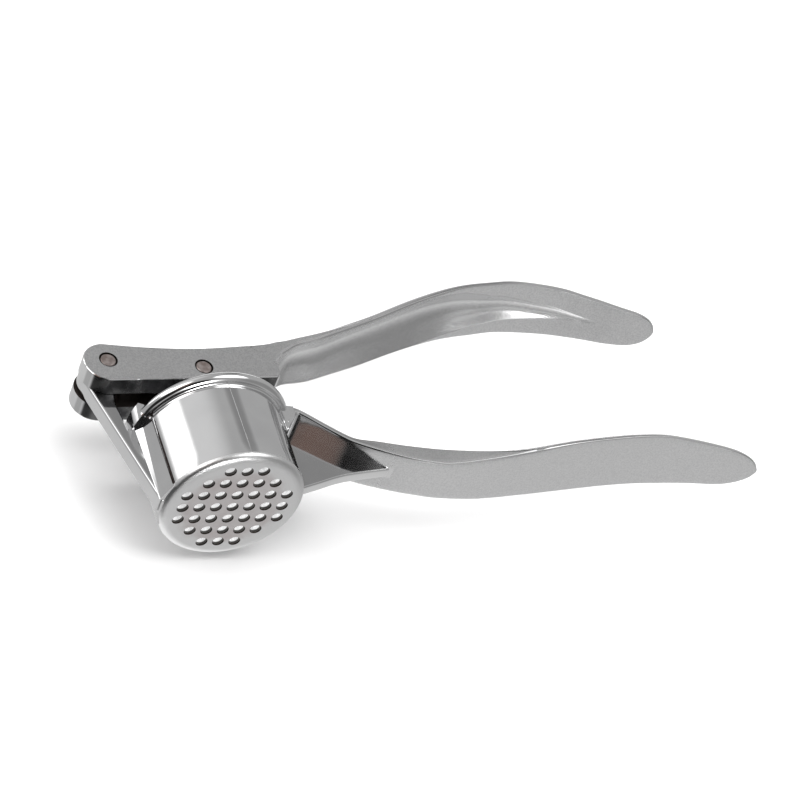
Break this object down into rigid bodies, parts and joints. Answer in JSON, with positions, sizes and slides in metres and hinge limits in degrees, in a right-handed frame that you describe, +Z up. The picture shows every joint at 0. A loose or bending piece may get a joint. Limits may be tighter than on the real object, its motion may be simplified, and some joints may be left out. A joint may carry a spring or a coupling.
{
  "type": "garlic press",
  "caption": "Hand garlic press: cast basket with a sieve on the bottom handle, a hinged top handle and a swinging plunger.",
  "frame": {"origin": "middle of the press's length and height, on the surface that it lies on, on its side", "axes": "+X along the handles from the pivot to the tips, +Y from the sieve's outer face up to the top handle, +Z up along the pins"},
  "size_m": [0.1688, 0.0678, 0.038],
  "materials": {
    "bottom_casting": "polished plate with a fine satin grain on the flat faces",
    "top_casting": "polished plate with a fine satin grain on the flat faces",
    "plunger_casting": "bright plate",
    "pins": "dull turned ends"
  },
  "bodies": {
    "bottom": {"lower_handle": "bottom_casting"},
    "top": {"upper_handle": "top_casting", "pivot_pin": "pins", "plunger_pin": "pins"},
    "plunger": {"plunger": "plunger_casting"}
  },
  "joints": [
    {"name": "handle_hinge", "type": "hinge", "parent": "bottom", "child": "top", "pos_m": [-0.07845, 0.00471, 0.019], "axis": [0, 0, 1], "range_deg": [-11.5, 82]},
    {"name": "plunger_hinge", "type": "hinge", "parent": "top", "child": "plunger", "pos_m": [-0.05565, 0.00259, 0.019], "axis": [0, 0, 1], "range_deg": [-62.32, 8.74]}
  ],
  "couplings": [
    {"joint": "plunger_hinge", "follows": "handle_hinge", "ratio": -0.76}
  ]
}
